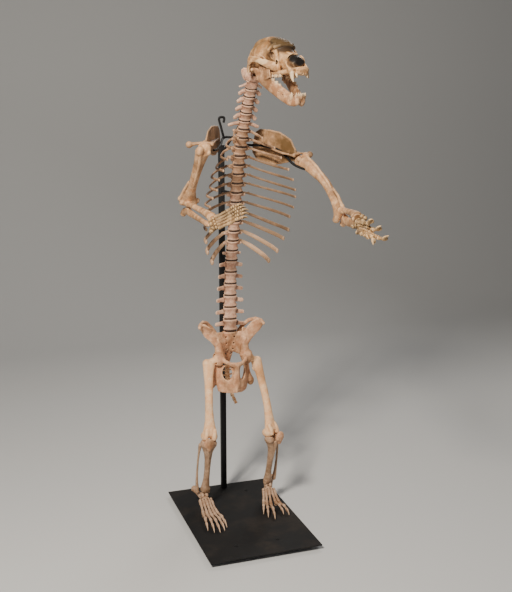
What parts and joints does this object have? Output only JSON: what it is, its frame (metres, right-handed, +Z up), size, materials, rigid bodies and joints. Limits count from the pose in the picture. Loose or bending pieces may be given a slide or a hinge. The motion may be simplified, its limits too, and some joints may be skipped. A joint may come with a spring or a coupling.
{
  "type": "cave bear skeleton on a museum mount",
  "caption": "Life-size cave bear skeleton standing upright with open jaws and arms held forward, on a black steel museum mount with a rectangular base plate.",
  "frame": {"origin": "centre of the base's underside, on the floor", "axes": "+Z up, -Y the way the bear faces, +X towards the bear's left"},
  "size_m": [0.7178, 1.3615, 2.5719],
  "materials": {
    "skull_bone": "matt, stained olive brown on the crown",
    "jaw_bone": "matt old bone",
    "spine_bone": "matt old bone",
    "rib_bone": "matt old bone",
    "pelvis_bone": "matt old bone",
    "arm_bone": "matt old bone",
    "leg_bone": "matt old bone",
    "black_steel": "satin black"
  },
  "bodies": {
    "root": {"skull": "skull_bone", "mandible": "jaw_bone", "neck": "spine_bone", "lumbar_spine": "spine_bone", "tail": "spine_bone", "ribcage_right": "rib_bone", "ribcage_left": "rib_bone", "pelvis": "pelvis_bone", "scapula_right": "arm_bone", "scapula_left": "arm_bone", "humerus_right": "arm_bone", "humerus_left": "arm_bone", "radius_right": "arm_bone", "radius_left": "arm_bone", "ulna_right": "arm_bone", "ulna_left": "arm_bone", "hand_right": "arm_bone", "hand_left": "arm_bone", "femur_right": "leg_bone", "femur_left": "leg_bone", "tibia_right": "leg_bone", "tibia_left": "leg_bone", "fibula_right": "leg_bone", "fibula_left": "leg_bone", "patella_right": "leg_bone", "patella_left": "leg_bone", "foot_right": "leg_bone", "foot_left": "leg_bone", "stand_base_plate": "black_steel", "stand_base_frame": "black_steel", "stand_pole": "black_steel", "stand_yoke": "black_steel", "stand_bracket_1": "black_steel", "stand_bracket_2": "black_steel", "stand_bracket_3": "black_steel"}
  },
  "joints": []
}
